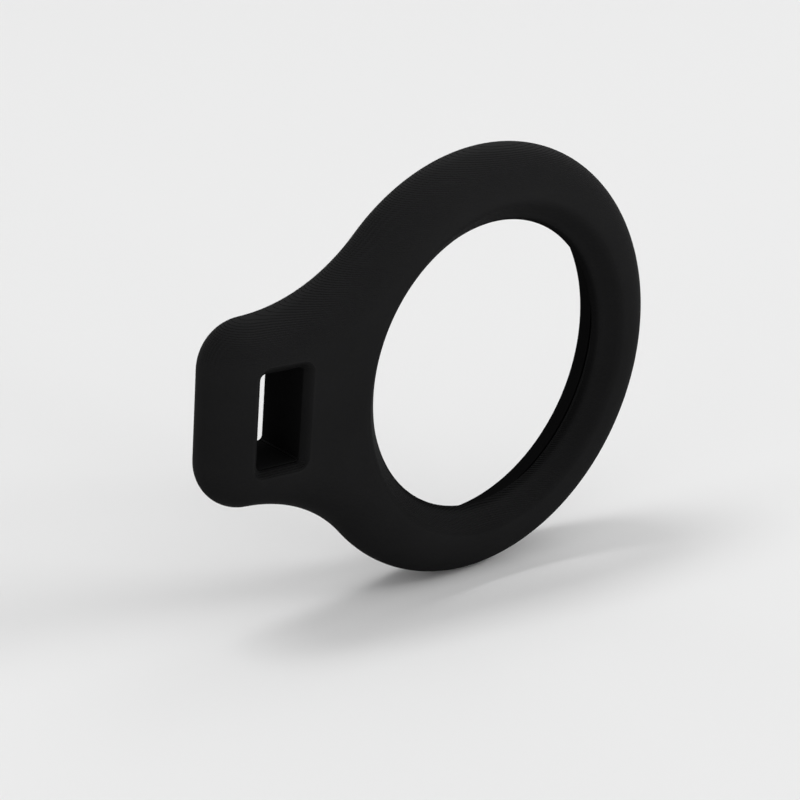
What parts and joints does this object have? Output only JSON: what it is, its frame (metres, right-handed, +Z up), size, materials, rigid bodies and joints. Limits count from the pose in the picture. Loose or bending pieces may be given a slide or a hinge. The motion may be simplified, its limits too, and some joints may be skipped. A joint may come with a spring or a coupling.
{
  "type": "tracker tag holder",
  "caption": "Round frame with a funnelled front opening and a slotted strap tab. A thin push-fit ring behind the opening grips a round tracker tag by its edge.",
  "frame": {"origin": "centre of the round frame, halfway through its thickness", "axes": "Y is the tag's axis: the front face looks along -Y and the tag goes in from +Y. The strap tab points along -X. Z is up: the holder stands on its rim."},
  "size_m": [0.0523, 0.0066, 0.0416],
  "materials": {
    "printed_plastic": "matte black print with fine layer lines",
    "ring_plastic": "matte black, a little softer than the body"
  },
  "bodies": {
    "holder": {"holder_body": "printed_plastic"},
    "ring": {"retaining_ring": "ring_plastic"}
  },
  "joints": [
    {"name": "ring_slide", "type": "slide", "parent": "holder", "child": "ring", "axis": [0, 1, 0], "range_m": [0, 0.01]}
  ]
}
